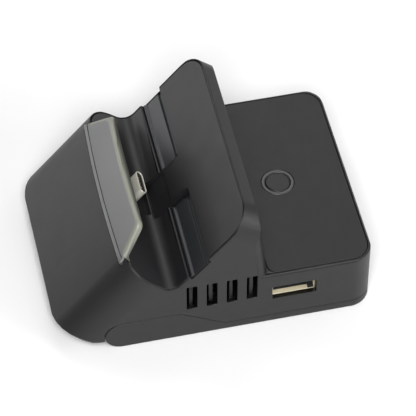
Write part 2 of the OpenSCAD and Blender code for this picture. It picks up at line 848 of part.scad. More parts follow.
module plug_board() color([0.1, 0.3, 0.2]) {
    cradle() difference() {
        along(plug_s - small_pcb_t, plug_s) intersection() {
            translate([-plug_board_x, plug_n - holder_t]) square([2 * plug_board_x, skirt_n]);
            polygon(skirt_outline(wall + fit));
        }
        for (p = plug_points) along(plug_s - body_d, plug_s + over) translate(p) circle(screw_r + fit);
    }
}

// Lamps in a row under the light bar's foot
module bar_lamps() color([0.9, 0.88, 0.7]) {
    n = slot_w - bar_root;
    for (i = [0 : led_count - 1])
        cradle() translate([(i + 1) * 2 * foot_half / (led_count + 1) - foot_half - led_len / 2, plug_s, n])
            cube([led_len, led_h, bar_root + fit]);
}

module ribbon() color([0.7, 0.5, 0.2]) {
    h = ribbon_t / 2;
    start = at(ribbon_s, ribbon_n);
    side = [sin(ribbon_a), cos(ribbon_a)] * h;
    c = ribbon_knee + [sin(ribbon_a), cos(ribbon_a)] * ribbon_r;
    across(ribbon_w) polygon(concat(
        [start + side],
        arc(c, ribbon_r - h, ribbon_r - h, 270 - ribbon_a, 270),
        [[ribbon_y, ribbon_z + h], [ribbon_y, ribbon_z - h]],
        arc(c, ribbon_r + h, ribbon_r + h, 270, 270 - ribbon_a),
        [start - side]
    ));
}

module ribbon_sockets() color([0.85, 0.83, 0.75]) {
    w = ribbon_w + conn_w;
    cradle() translate([-w / 2, plug_s - small_pcb_t - conn_h, ribbon_n]) cube([w, conn_h, conn_w]);
    translate([-w / 2, ribbon_y, pcb_top]) cube([w, conn_w, conn_h]);
}

module main_board() color([0.1, 0.3, 0.2]) {
    difference() {
        up(pcb_top - pcb_t, pcb_top) polygon(gate(pcb_x, pcb_y1, rear_r / 2, rear_r / 2, pcb_y0));
        for (p = post_points) translate([p.x, p.y, 0]) up(0, pcb_top + over) circle(screw_r + fit);
        for (p = cover_points) translate([p.x, p.y, 0]) up(0, pcb_top + over) circle(boss_r + 3 * fit);
    }
}

module main_chip() color([0.1, 0.1, 0.1]) {
    translate([-chip_w / 2, pcb_y0 + 2 * conn_w + chip_w / 2, pcb_top]) cube([chip_w, chip_w, chip_h]);
}

// Coils, capacitors and the small power chip on the main board
module board_parts() color([0.35, 0.33, 0.3]) {
    w = chip_w * 2 / 3;
    x0 = chip_w / 2 + conn_w;
    caps = 3;
    pitch = (post_x - head_r - conn_w / 2 - x0) / caps;
    for (i = [0 : 1])
        translate([-x0 - w, pcb_y0 + w + i * 3 / 2 * w, pcb_top]) cube([w, w, 3 * chip_h]);
    translate([-w / 2, pcb_y0 + 2 * conn_w + 2 * chip_w - w / 2, pcb_top]) cube([w, w, chip_h]);
    for (i = [0 : caps - 1])
        translate([x0 + i * pitch, pcb_y0 + w, pcb_top]) cube([w / 2, w, 2 * chip_h]);
}

// Side socket, its mouth against the inside of the wall
module side_socket_shell() color([0.7, 0.7, 0.68]) {
    x = half_w - wall;
    translate([x - port_deep, port_y, port_z]) rotate([90, 0, 90]) difference() {
        translate([-port_w / 2, -port_h / 2]) cube([port_w, port_h, port_deep]);
        translate([socket_wall - port_w / 2, socket_wall - port_h / 2, socket_wall])
            cube([port_w - 2 * socket_wall, port_h - 2 * socket_wall, port_deep]);
    }
}

module side_socket_tongue() color([0.8, 0.76, 0.66]) {
    x = half_w - wall - port_deep + socket_wall;
    z = port_z + port_h / 2 - socket_wall - port_tongue_t;
    translate([x, port_y - port_tongue_w / 2, z])
        cube([port_deep - 3 * socket_wall, port_tongue_w, port_tongue_t]);
}

// Front view of the display socket, with cut lower corners, grown by g
module display_shape(g) {
    x = display_w / 2 + g;
    y = display_h / 2 + g;
    low = display_cut - y;
    polygon([[-x, y], [-x, low], [display_cut - x, -y], [x - display_cut, -y], [x, low], [x, y]]);
}

module display_socket_shell() color([0.7, 0.7, 0.68]) {
    translate([display_x, 0, pcb_top + display_h / 2]) difference() {
        along(half_d - wall - display_deep, half_d - wall) display_shape(0);
        along(half_d - wall - display_deep + socket_wall, half_d) display_shape(-socket_wall);
    }
}

module display_socket_tongue() color([0.12, 0.12, 0.12]) {
    y = half_d - wall - display_deep + socket_wall;
    translate([display_x - display_w / 2 + display_cut, y, pcb_top + display_h / 2])
        cube([display_w - 2 * display_cut, display_deep - 3 * socket_wall, 2 * tongue_t]);
}

module power_inlet_shell() color([0.7, 0.7, 0.68]) {
    translate([inlet_x, 0, pcb_top + inlet_h / 2]) difference() {
        along(half_d - wall - inlet_deep, half_d - wall) oval(inlet_w, inlet_h);
        along(half_d - wall - inlet_deep + socket_wall, half_d)
            oval(inlet_w - 2 * socket_wall, inlet_h - 2 * socket_wall);
    }
}

module power_inlet_tongue() color([0.12, 0.12, 0.12]) {
    y = half_d - wall - inlet_deep + socket_wall;
    translate([inlet_x - mouth_w / 2, y, pcb_top + inlet_h / 2 - tongue_t / 2])
        cube([mouth_w, inlet_deep - 3 * socket_wall, tongue_t]);
}

// A screw with its head from 0 down and its shank up
module screw(len) {
    up(-head_h, 0) circle(head_r);
    up(-head_h / 2, len) circle(screw_r);
}

module cover_screws() color([0.3, 0.3, 0.3]) {
    for (p = cover_points) translate([p.x, p.y, foot_out + head_h + fit]) screw(screw_len);
}

module board_screws() color([0.6, 0.6, 0.6]) {
    for (p = post_points) translate([p.x, p.y, pcb_top]) mirror([0, 0, 1]) screw(screw_len * 2 / 3);
}

module button_board_screws() color([0.6, 0.6, 0.6]) {
    both_sides() translate([switch_post_x, button_y, switch_z - small_pcb_t])
        screw(small_pcb_t + switch_h - fit);
}

module plug_board_screws() color([0.6, 0.6, 0.6]) {
    len = small_pcb_t + screw_len / 2 - fit;
    cradle() for (p = plug_points)
        translate([p.x, plug_s - small_pcb_t, p.y]) rotate([-90, 0, 0]) screw(len);
}

module rubber_feet() color([0.1, 0.1, 0.1]) {
    for (p = foot_points) translate([p.x, p.y, 0]) up(0, foot_out + foot_seat) circle(foot_r);
}

outer_shell();
cradle_insert();
light_bar();
rest_pad_left();
rest_pad_right();
deck_plate();
button_ring();
mode_button();
switch_plunger();
switch_housing();
button_board();
bottom_cover();
plug_shell();
plug_liner();
plug_holder();
plug_board();
bar_lamps();
ribbon();
ribbon_sockets();
main_board();
main_chip();
board_parts();
side_socket_shell();
side_socket_tongue();
display_socket_shell();
display_socket_tongue();
power_inlet_shell();
power_inlet_tongue();
cover_screws();
board_screws();
button_board_screws();
plug_board_screws();
rubber_feet();
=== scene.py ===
"""Looks of the handheld console dock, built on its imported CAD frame.

Every piece is in metres and in the CAD frame: X runs across the cradle, Y from the skirt to the rear, Z up.
Sizes in the classes are in millimetres, as in the CAD source.
"""

import json
import logging
import math
from collections.abc import Callable
from dataclasses import dataclass
from enum import Enum

import bmesh
import bpy
from mathutils import Matrix, Vector

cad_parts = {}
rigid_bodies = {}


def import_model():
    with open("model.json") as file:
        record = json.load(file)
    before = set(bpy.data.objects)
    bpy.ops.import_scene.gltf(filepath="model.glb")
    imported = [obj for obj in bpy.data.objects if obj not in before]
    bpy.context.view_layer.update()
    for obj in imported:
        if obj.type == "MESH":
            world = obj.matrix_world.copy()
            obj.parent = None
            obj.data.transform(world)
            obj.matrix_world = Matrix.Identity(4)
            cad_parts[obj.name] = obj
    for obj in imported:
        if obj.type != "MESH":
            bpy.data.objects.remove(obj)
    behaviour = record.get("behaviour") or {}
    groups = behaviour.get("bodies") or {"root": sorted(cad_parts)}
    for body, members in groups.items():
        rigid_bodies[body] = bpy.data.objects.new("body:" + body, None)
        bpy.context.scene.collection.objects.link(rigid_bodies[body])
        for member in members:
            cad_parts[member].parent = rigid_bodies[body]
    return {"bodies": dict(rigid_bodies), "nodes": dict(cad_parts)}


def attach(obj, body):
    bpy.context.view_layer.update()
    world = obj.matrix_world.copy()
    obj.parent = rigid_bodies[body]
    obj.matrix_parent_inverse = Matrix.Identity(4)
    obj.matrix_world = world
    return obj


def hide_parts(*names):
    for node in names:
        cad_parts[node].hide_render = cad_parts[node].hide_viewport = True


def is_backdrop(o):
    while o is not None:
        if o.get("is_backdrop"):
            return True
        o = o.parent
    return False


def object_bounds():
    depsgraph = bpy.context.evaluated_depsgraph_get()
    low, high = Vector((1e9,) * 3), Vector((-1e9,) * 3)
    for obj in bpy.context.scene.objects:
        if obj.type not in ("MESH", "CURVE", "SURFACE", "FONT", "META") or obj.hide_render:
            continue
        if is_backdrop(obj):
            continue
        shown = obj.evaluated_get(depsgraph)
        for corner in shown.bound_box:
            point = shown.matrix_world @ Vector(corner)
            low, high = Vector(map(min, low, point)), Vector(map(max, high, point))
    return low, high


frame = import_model()

MM = 0.001
EDGE_MARK = "bevel_weight_edge"
# Corners closer than this, in millimetres, are one corner.
WELD = 0.001
# Faces within this many metres of a screw's top count as its top.
LEVEL = 1e-7
# A cross recess: its span over the width of an arm, the share of it left at the bottom, and how much deeper
# its middle is than its arms.
RECESS_SPAN = 3.6
RECESS_TAPER = 0.8
RECESS_TIP = 1.25
log = logging.getLogger("console_dock")


# Colours and nodes


def linear(code: str) -> tuple[float, float, float, float]:
    """Turn an sRGB hex colour into linear light.

    Args:
        code: six hex digits after a hash.

    Returns:
        Red, green, blue and an alpha of one.
    """
    channels = [int(code[i:i + 2], 16) / 255 for i in (1, 3, 5)]
    lit = [c / 12.92 if c <= 0.04045 else ((c + 0.055) / 1.055) ** 2.4 for c in channels]
    return (lit[0], lit[1], lit[2], 1.0)


def add(
    tree: bpy.types.NodeTree,
    kind: str,
    settings: dict[str | int, object] | None = None,
    links: dict[str | int, bpy.types.NodeSocket] | None = None,
) -> bpy.types.Node:
    """Add a node with its settings and links.

    Args:
        tree: the tree that gets the node.
        kind: Blender's name of the node.
        settings: values by name; a lower-case name is a property, any other key an input.
        links: the output that feeds each input.

    Returns:
        The new node.
    """
    node = tree.nodes.new(kind)
    for key, value in (settings or {}).items():
        if isinstance(key, str) and key[0].islower():
            setattr(node, key, value)
        else:
            node.inputs[key].default_value = value
    for key, source in (links or {}).items():
        tree.links.new(source, node.inputs[key])
    return node


class Body(Enum):
    """The CAD bodies that pieces ride on."""

    HOUSING = "housing"
    BUTTON = "button"


# Finishes


@dataclass(frozen=True)
class Finish:
    """A surface, named for its real material and for how it was made, and for the light or shade painted into
    it where it has some.
    """

    name: str
    slot: str
    colour: str
    second: str
    roughness: float
    ior: float = 1.5
    metallic: float = 0.0
    patch: float = 9.0
    grain: float = 0.35
    grain_depth: float = 0.006
    rough_swing: float = 0.05

    def material(self) -> bpy.types.Material:
        """Return the finish's material, made on first use."""
        found = bpy.data.materials.get(self.name)
        return found or self.make()

    def make(self) -> bpy.types.Material:
        """Build the material from its colour, its gloss and its relief.

        Returns:
            The new material.
        """
        material = bpy.data.materials.new(self.name)
        material.use_nodes = True
        tree = material.node_tree
        tree.nodes.clear()
        place = add(tree, "ShaderNodeTexCoord").outputs["Object"]
        shader = add(
            tree,
            "ShaderNodeBsdfPrincipled",
            {"Metallic": self.metallic, "Roughness": self.roughness},
            {
                "Base Color": self.tone(tree, place),
                "Roughness": self.gloss(tree, place),
                "Normal": self.relief(tree, place),
            },
        )
        if not self.metallic:
            shader.inputs["IOR"].default_value = self.ior
        self.extras(shader)
        add(tree, "ShaderNodeOutputMaterial", links={"Surface": shader.outputs["BSDF"]})
        return material

    def per_metre(self, size: float) -> float:
        """Turn a pattern's size in millimetres into a texture scale."""
        return 1 / (size * MM)

    def noise(
        self, tree: bpy.types.NodeTree, place: bpy.types.NodeSocket, size: float, detail: float = 2.0
    ) -> bpy.types.NodeSocket:
        """Return a cloudy pattern whose blotches are size millimetres wide.

        Args:
            tree: the material's tree.
            place: coordinates in metres.
            size: width of a blotch.
            detail: octaves of finer noise.

        Returns:
            The pattern's value output.
        """
        settings = {"Scale": self.per_metre(size), "Detail": detail}
        return add(tree, "ShaderNodeTexNoise", settings, {"Vector": place}).outputs[0]

    def tone(self, tree: bpy.types.NodeTree, place: bpy.types.NodeSocket) -> bpy.types.NodeSocket:
        """Return the colour, which drifts a little between the finish's two colours."""
        cloud = self.noise(tree, place, self.patch)
        mix = add(
            tree,
            "ShaderNodeMix",
            {"data_type": "RGBA", 6: linear(self.colour), 7: linear(self.second)},
            {0: cloud},
        )
        return mix.outputs[2]

    def gloss(self, tree: bpy.types.NodeTree, place: bpy.types.NodeSocket) -> bpy.types.NodeSocket:
        """Return the roughness, with faint smudges."""
        cloud = self.noise(tree, place, self.patch / 2, 3.0)
        settings = {
            "To Min": self.roughness - self.rough_swing,
            "To Max": self.roughness + self.rough_swing,
        }
        return add(tree, "ShaderNodeMapRange", settings, {"Value": cloud}).outputs[0]

    def relief(self, tree: bpy.types.NodeTree, place: bpy.types.NodeSocket) -> bpy.types.NodeSocket:
        """Return the normal, with the grain of the finish."""
        grain = self.noise(tree, place, self.grain, 2.0)
        settings = {"Strength": 1.0, "Distance": self.grain_depth * MM}
        return add(tree, "ShaderNodeBump", settings, {"Height": grain}).outputs[0]

    def extras(self, shader: bpy.types.Node) -> None:
        """Set what only this kind of finish has on its shader."""


@dataclass(frozen=True)
class DrawnMetal(Finish):
    """Sheet metal with fine lines along one axis, from rolling or drawing."""

    line: float = 0.25
    along: tuple[float, float, float] = (1.0, 1.0, 0.08)

    def relief(self, tree: bpy.types.NodeTree, place: bpy.types.NodeSocket) -> bpy.types.NodeSocket:
        """Return the normal, with the drawing lines."""
        scaled = add(tree, "ShaderNodeVectorMath", {"operation": "MULTIPLY", 1: self.along}, {0: place})
        lines = self.noise(tree, scaled.outputs[0], self.line, 1.0)
        settings = {"Strength": 1.0, "Distance": self.grain_depth * MM}
        return add(tree, "ShaderNodeBump", settings, {"Height": lines}).outputs[0]


@dataclass(frozen=True)
class Translucent(Finish):
    """Plastic or resin that light passes into."""

    depth: float = 1.5
    share: float = 0.35
    transmission: float = 0.0

    def extras(self, shader: bpy.types.Node) -> None:
        """Let light in, scattered over the finish's depth."""
        shader.inputs["Subsurface Weight"].default_value = self.share
        shader.inputs["Subsurface Radius"].default_value = (1.0, 1.0, 1.0)
        shader.inputs["Subsurface Scale"].default_value = self.depth * MM
        shader.inputs["Transmission Weight"].default_value = self.transmission


@dataclass(frozen=True)
class LitPaper(Finish):
    """White paper on a light table."""

    glow: float = 0.0

    def extras(self, shader: bpy.types.Node) -> None:
        """Light the paper from below."""
        shader.inputs["Emission Color"].default_value = linear(self.colour)
        shader.inputs["Emission Strength"].default_value = self.glow


@dataclass(frozen=True)
class BoardLacquer(Finish):
    """Solder mask over copper tracks."""

    track: float = 1.1

    def relief(self, tree: bpy.types.NodeTree, place: bpy.types.NodeSocket) -> bpy.types.NodeSocket:
        """Return the normal, with the tracks standing proud under the lacquer."""
        settings = {"feature": "F1", "distance": "CHEBYCHEV", "Scale": self.per_metre(self.track)}
        cells = add(tree, "ShaderNodeTexVoronoi", settings, {"Vector": place})
        step = {"From Min": 0.35, "From Max": 0.4}
        edge = add(tree, "ShaderNodeMapRange", step, {"Value": cells.outputs["Distance"]})
        settings = {"Strength": 1.0, "Distance": self.grain_depth * MM}
        return add(tree, "ShaderNodeBump", settings, {"Height": edge.outputs[0]}).outputs[0]


# Spark-eroded moulding: a fine even grain that spreads the light softly. The real grain is about
# 0.1 mm and is drawn at 0.35 mm, because it would be finer than a pixel.
SHELL_ABS = Finish("moulded_abs_charcoal", "charcoal_plastic", "#141415", "#171718", 0.48, 1.5)
# Where the mould's slides met, in the vents and the socket's mouth, the same plastic is smooth; it is also
# coloured blacker there, as painted shade inside them.
MOUTH_SHADE_ABS = Finish(
    "moulded_abs_painted_mouth_shade", "charcoal_plastic", "#080808", "#0a0a0a", 0.3, 1.45, grain_depth=0.001,
)
INSERT_ABS = Finish("moulded_abs_graphite", "insert_plastic", "#151517", "#19191b", 0.5, 1.53)
# Matte lacquer on the inlaid plate: flatter and a touch warmer than the housing.
DECK_ABS = Finish("matte_lacquered_abs", "deck_plastic", "#121212", "#151515", 0.55, 1.53, grain=0.3)
# Turned after moulding, and coloured paler than the cap as painted highlight, for the pale line of light that
# the ring catches.
RING_ABS = Finish("turned_ring_abs", "ring_plastic", "#3b3c3a", "#414240", 0.38, 1.53)
# The cap looks like the deck, a touch smoother.
CAP_ABS = Finish("moulded_abs_cap", "button_plastic", "#111111", "#131313", 0.5, 1.53)
# Frosted polycarbonate: grey and milky. Its ends, top and rounded edges are coloured paler, as painted
# highlight for the light that gathers in them.
FROSTED = Translucent(
    "frosted_polycarbonate", "frosted_plastic", "#7b7d7d", "#898b8a", 0.42, 1.58, patch=9.0, grain=0.5,
    grain_depth=0.003, transmission=0.45,
)
# The edge plastic: polished smoother, and coloured paler as painted highlight.
FROSTED_EDGE_LIGHT = Translucent(
    "polished_polycarbonate_painted_edge_light", "frosted_plastic", "#8c8d82", "#96978b", 0.35, 1.58, grain_depth=0.001,
    transmission=0.2,
)
# The same plastic coloured near-black, as painted shade on the bar's thin tips and on its groove's walls.
FROSTED_SHADE = Finish("polycarbonate_painted_shade", "frosted_plastic", "#0c0c0d", "#101011", 0.5, 1.58)
# Moulded elastomer: dull with a soft sheen on its ridges.
PAD_RUBBER = Finish("moulded_elastomer", "pad_rubber", "#242628", "#2a2b2e", 0.4, 1.51, grain=0.3)
# Die-cut rubber: flat black, with no shine.
FOOT_RUBBER = Finish(
    "die_cut_rubber", "foot_rubber", "#1c1c1c", "#222222", 0.8, 1.51, grain=0.4, grain_depth=0.02,
)
# Stamped nickel-plated steel with a satin finish: pale and slightly warm, with drawing lines.
NICKEL = DrawnMetal(
    "nickel_plated_steel", "steel", "#e2e0d4", "#d8d6c9", 0.42, metallic=0.4, grain_depth=0.002,
    along=(1.0, 0.12, 1.0),
)
# Stamped brass under thin nickel: its floor shines warm in the socket's mouth.
BRASS_SHIELD = DrawnMetal(
    "nickel_flashed_brass", "steel", "#f0e9d2", "#e0d7ba", 0.4, metallic=0.45, grain_depth=0.004,
)
# Zinc-plated steel screws with a black passivation: dark with a dull shine.
SCREW_STEEL = DrawnMetal(
    "black_zinc_steel", "steel", "#3a3a3b", "#444446", 0.38, metallic=1.0, grain_depth=0.002,
)
# Gold plating: small warm glints in the plug's mouth.
GOLD = DrawnMetal("gold_plated_contact", "steel", "#e0cfa0", "#d8c48e", 0.35, metallic=1.0, grain_depth=0.001)
# Glass-filled nylon: a dull, dry black.
BLACK_NYLON = Finish("glass_filled_nylon", "black_plastic", "#1d1e1f", "#242526", 0.55, 1.53, grain=0.25)
# Natural nylon: warm and milky.
IVORY_NYLON = Finish("natural_nylon", "beige_plastic", "#e8dcb4", "#e0d3a8", 0.4, 1.53, grain=0.25, patch=4.0)
# Bare stamped steel: cold and bright.
SWITCH_STEEL = DrawnMetal("stamped_switch_cover", "switch_metal", "#b6b6b4", "#a9a9a7", 0.35, metallic=1.0)
# Solder mask over copper: a glassy, very dark green, with the tracks as a low relief.
SOLDER_MASK = BoardLacquer(
    "dark_green_solder_mask", "board_green", "#07110b", "#060e09", 0.4, 1.5, grain_depth=0.035,
)
# Cast resin over the lamps: a clear, deep yellow.
LAMP_RESIN = Translucent(
    "cast_lamp_resin", "lamp_resin", "#e6dfae", "#d9d19c", 0.15, 1.5, share=0.5, depth=0.8,
)
# Polyester over copper strips: amber, with lines along it.
FLAT_CABLE = DrawnMetal(
    "polyester_flat_cable", "ribbon_film", "#b98a45", "#a87c3c", 0.3, line=0.5, grain_depth=0.03,
    along=(1.0, 0.02, 0.02),
)
# Moulded epoxy: a matte near-black.
EPOXY = Finish(
    "moulded_epoxy_package", "component_body", "#26272a", "#2e2f33", 0.6, 1.5, grain=0.2, patch=2.5,
)


# Mesh work


def weld(node: str) -> bmesh.types.BMesh:
    """Return a CAD node's mesh, welded at its corners."""
    bm = bmesh.new()
    bm.from_mesh(frame["nodes"][node].data)
    bmesh.ops.remove_doubles(bm, verts=bm.verts, dist=WELD * MM)
    return bm


def publish(
    bm: bmesh.types.BMesh, name: str, finish: Finish, body: Body = Body.HOUSING, replaces: tuple[str, ...] = ()
) -> bpy.types.Object:
    """Turn a mesh into a piece that rides on a body.

    Args:
        bm: the mesh in metres; it is freed.
        name: the piece's name.
        finish: its surface.
        body: the CAD body that it rides on.
        replaces: the CAD nodes that it stands for.

    Returns:
        The new object.
    """
    mesh = bpy.data.meshes.new(name)
    bm.to_mesh(mesh)
    bm.free()
    mesh.shade_smooth()
    piece = bpy.data.objects.new(name, mesh)
    bpy.context.scene.collection.objects.link(piece)
    mesh.materials.append(finish.material())
    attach(piece, body.value)
    if replaces:
        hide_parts(*replaces)
    log.info("%s: %s, %d faces", name, finish.name, len(mesh.polygons))
    return piece


def mark(bm: bmesh.types.BMesh, share: Callable[[Vector], float] | None = None, angle: float = 28.0) -> None:
    """Mark a mesh's sharp edges, which soften() then rounds.

    Args:
        bm: the mesh.
        share: gives the share of the full rounding at a place in millimetres; without it, all get the whole.
        angle: edges sharper than this many degrees are marked.
    """
    layer = bm.edges.layers.float.get(EDGE_MARK) or bm.edges.layers.float.new(EDGE_MARK)
    for edge in bm.edges:
        if len(edge.link_faces) == 2 and edge.calc_face_angle(0) > math.radians(angle):
            middle = (edge.verts[0].co + edge.verts[1].co) / (2 * MM)
            edge[layer] = share(middle) if share else 1.0


def soften(
    piece: bpy.types.Object, radius: float, segments: int = 2, material: int = -1, slide: bool = False
) -> None:
    """Round a piece's marked edges and shade its curved faces smooth.

    Args:
        piece: the object to round.
        radius: width of the full rounding in millimetres.
        segments: faces across it.
        material: index of the rounding's material; without it, that of the faces beside it.
        slide: whether its corners keep to the edges that meet there, and not to an even width.
    """
    round_off = piece.modifiers.new("rounded_edges", "BEVEL")
    round_off.material = material
    round_off.width = radius * MM
    round_off.segments = segments
    round_off.limit_method = "WEIGHT"
    round_off.use_clamp_overlap = False
    round_off.loop_slide = slide
    round_off.miter_outer = "MITER_ARC"
    even = piece.modifiers.new("even_shading", "WEIGHTED_NORMAL")
    even.keep_sharp = True


def box(bm: bmesh.types.BMesh, low: Vector, high: Vector, matrix: Matrix = Matrix()) -> None:
    """Add a box between two corners, in millimetres, placed by a matrix in metres."""
    size = high - low
    centre = Matrix.Translation((low + high) / 2 * MM) @ Matrix.Diagonal((*(size * MM), 1))
    bmesh.ops.create_cube(bm, size=1, matrix=matrix @ centre)


def carve(bm: bmesh.types.BMesh, cutter: bmesh.types.BMesh) -> bmesh.types.BMesh:
    """Cut one closed mesh out of another.

    Args:
        bm: the mesh that is cut; it is freed.
        cutter: what is taken out; it is freed.

    Returns:
        The cut mesh, welded.
    """
    things = []
    for name, source in (("carved", bm), ("cutter", cutter)):
        mesh = bpy.data.meshes.new(name)
        source.to_mesh(mesh)
        source.free()
        things.append(bpy.data.objects.new(name, mesh))
        bpy.context.scene.collection.objects.link(things[-1])
    cut = things[0].modifiers.new("cut", "BOOLEAN")
    cut.operation = "DIFFERENCE"
    cut.solver = "EXACT"
    cut.object = things[1]
    result = bmesh.new()
    result.from_object(things[0], bpy.context.evaluated_depsgraph_get())
    for thing in things:
        mesh = thing.data
        bpy.data.objects.remove(thing)
        bpy.data.meshes.remove(mesh)
    bmesh.ops.remove_doubles(result, verts=result.verts, dist=WELD * MM)
    bmesh.ops.triangulate(result, faces=[f for f in result.faces if len(f.verts) > 4])
    return result


def islands(bm: bmesh.types.BMesh) -> list[set[bmesh.types.BMVert]]:
    """Return the vertices of each separate solid in a mesh."""
    left, found = set(bm.verts), []
    while left:
        grown, edge_of = set(), [min(left, key=lambda v: v.index)]
        while edge_of:
            vert = edge_of.pop()
            if vert not in grown:
                grown.add(vert)
                edge_of += [e.other_vert(vert) for e in vert.link_edges]
        left -= grown
        found.append(grown)
    return found


def cross_recess(bm: bmesh.types.BMesh, axis: Vector, depth: float = 0.45, reach: float = 0.62) -> None:
    """Press a cross for the driver into each screw head of a mesh.

    Args:
        bm: the screws.
        axis: where the heads face.
        depth: depth of the cross in millimetres.
        reach: half its span as a share of the head's radius.
    """
    bm.verts.index_update()
    for solid in islands(bm):
        top = max(v.co.dot(axis) for v in solid)
        faces = {f for v in solid for f in v.link_faces}
        flat = [f for f in faces if min(v.co.dot(axis) for v in f.verts) > top - LEVEL]
        rim = [e for e in {e for f in flat for e in f.edges} if sum(f in flat for f in e.link_faces) == 1]
        points = list({v for e in rim for v in e.verts})
        centre = sum((v.co for v in points), Vector()) / len(points)
        radius = max((v.co - centre).length for v in points)
        side = axis.orthogonal().normalized()
        other = axis.cross(side)
        bmesh.ops.delete(bm, geom=flat, context="FACES_ONLY")
        long, short = radius * reach, radius * reach / RECESS_SPAN
        corners = ((long, short), (short, short), (short, long))
        outline = []
        for a, b in ((side, other), (other, -side), (-side, -other), (-other, side)):
            outline += [centre + a * x + b * y for x, y in corners]
        upper = [bm.verts.new(co) for co in outline]
        bottom = centre - axis * depth * MM
        lower = [bm.verts.new(bottom + (co - centre) * RECESS_TAPER) for co in outline]
        ring = [bm.edges.new((upper[i - 1], upper[i])) for i in range(len(upper))]
        bmesh.ops.triangle_fill(bm, edges=rim + ring, use_beauty=True, normal=axis)
        for i in range(len(upper)):
            bm.faces.new((upper[i - 1], upper[i], lower[i], lower[i - 1]))
        hub = bm.verts.new(centre - axis * depth * MM * RECESS_TIP)
        for i in range(len(lower)):
            bm.faces.new((lower[i - 1], lower[i], hub))
    bmesh.ops.recalc_face_normals(bm, faces=bm.faces)


@dataclass
class Dock:
    """Sizes that several sub-assemblies share."""

    half_w: float = 34.9
    half_d: float = 47.9
    wall: float = 1.65
    deck_h: float = 21.9
    deck_y: float = 15.4
    insert_w: float = 34.25
    tilt: float = 50.0
    rest_y: float = -2.342
    rest_z: float = 34.85
    floor_s: float = -17.2
    pcb_top: float = 10.54

    def cradle(self) -> Matrix:
        """Return the frame of the back rest: X across, Y up its slope, Z off its face."""
        turn = Matrix.Rotation(math.radians(self.tilt), 4, "X")
        return Matrix.Translation(Vector((0, self.rest_y, self.rest_z)) * MM) @ turn


@dataclass
class SubAssembly:
    """A group of pieces that is built and dressed together."""

    dock: Dock

    def rounded(self, node: str, name: str, finish: Finish, radius: float, body: Body = Body.HOUSING) -> None:
        """Stand a rounded piece in for a CAD node.

        Args:
            node: the CAD node.
            name: the new piece's name.
            finish: its surface.
            radius: rounding of its sharp edges in millimetres.
            body: the body that it rides on.
        """
        bm = weld(node)
        mark(bm)
        soften(publish(bm, name, finish, body, (node,)), radius)

    def screws(self, node: str, name: str, axis: Vector, radius: float = 0.15) -> None:
        """Stand screws with cross recesses in for a CAD node, their heads facing along an axis."""
        bm = weld(node)
        mark(bm)
        cross_recess(bm, axis)
        soften(publish(bm, name, SCREW_STEEL, Body.HOUSING, (node,)), radius)

    def dress(self, node: str, finish: Finish) -> None:
        """Give a CAD node that stays its finish."""
        cad = frame["nodes"][node]
        cad.data.materials.clear()
        cad.data.materials.append(finish.material())
        log.info("%s: %s", node, finish.name)

    def build(self) -> None:
        """Make the sub-assembly's pieces."""


@dataclass
class Housing(SubAssembly):
    """The outer moulding, the bottom cover, its screws and its feet."""

    edge: float = 0.45
    front_y: float = -47.0
    share: float = 0.5
    thin_share: float = 0.22
    rim_in: float = 0.3
    rim_low: float = 1.5
    rim_back: float = 0.5
    deck_band: float = 2.5
    deck_ahead: float = 3.0
    cover_edge: float = 0.22
    foot_edge: float = 0.25
    screw_edge: float = 0.2
    vent_y: float = -9.26
    vent_w: float = 3.14
    vent_h: float = 10.0
    vent_z: float = 12.84
    vent_pitch: float = 6.04
    vent_count: int = 4
    vent_bar: float = 1.2
    mouth_y: float = 32.0
    mouth_low: float = 9.5
    mouth_tilt: float = 0.5
    skin: float = 0.1
    film: float = 0.3

    def build(self) -> None:
        """Make the housing's pieces."""
        bm = carve(weld("outer_shell"), self.vent_gaps())
        mark(bm, self.edge_share)
        # Faces lining the vents and the socket's mouth get the blacker plastic: painted shade.
        for face in bm.faces:
            face.material_index = int(self.in_mouth(face))
        moulding = publish(bm, "housing_moulding", SHELL_ABS, replaces=("outer_shell",))
        moulding.data.materials.append(MOUTH_SHADE_ABS.material())
        soften(moulding, self.edge)
        self.rounded("bottom_cover", "cover_moulding", SHELL_ABS, self.cover_edge)
        self.rounded("rubber_feet", "feet_discs", FOOT_RUBBER, self.foot_edge)
        self.screws("cover_screws", "cover_screw_set", Vector((0, 0, -1)), self.screw_edge)

    def edge_share(self, place: Vector) -> float:
        """Return the share of the rounding: whole along the slot's side rims, little at the deck."""
        local = self.dock.cradle().inverted() @ (place * MM) / MM
        beside_slot = local.y > self.dock.floor_s - self.rim_low and local.z > -self.rim_back
        if abs(place.x) > self.dock.half_w - self.rim_in and beside_slot:
            return 1.0
        at_deck = place.z > self.dock.deck_h - self.deck_band and place.y > self.dock.deck_y - self.deck_ahead
        return self.thin_share if at_deck or place.y < self.front_y else self.share

    def in_mouth(self, face: bmesh.types.BMFace) -> bool:
        """Return whether a face lines a vent or the socket's mouth in a side wall."""
        place = face.calc_center_median() / MM
        in_wall = self.skin < self.dock.half_w - abs(place.x) < self.dock.wall + self.skin
        along = self.vent_y - self.skin < place.y < self.mouth_y
        upright = self.mouth_low < place.z < self.vent_z + self.vent_h + self.skin
        return in_wall and along and upright and abs(face.normal.x) < self.mouth_tilt

    def vent_gaps(self) -> bmesh.types.BMesh:
        """Return the gaps on both sides of each vent's bar, to the depth where they meet the hollow."""
        bm = bmesh.new()
        wall_x = self.dock.half_w - self.dock.wall
        gap = (self.vent_w - self.vent_bar) / 2
        for i in range(self.vent_count):
            start = self.vent_y + i * self.vent_pitch
            for y in (start, start + gap + self.vent_bar):
                for x in (wall_x, -wall_x):
                    low = Vector((x - self.film, y, self.vent_z))
                    box(bm, low, Vector((x + self.film, y + gap, self.vent_z + self.vent_h)))
        return bm


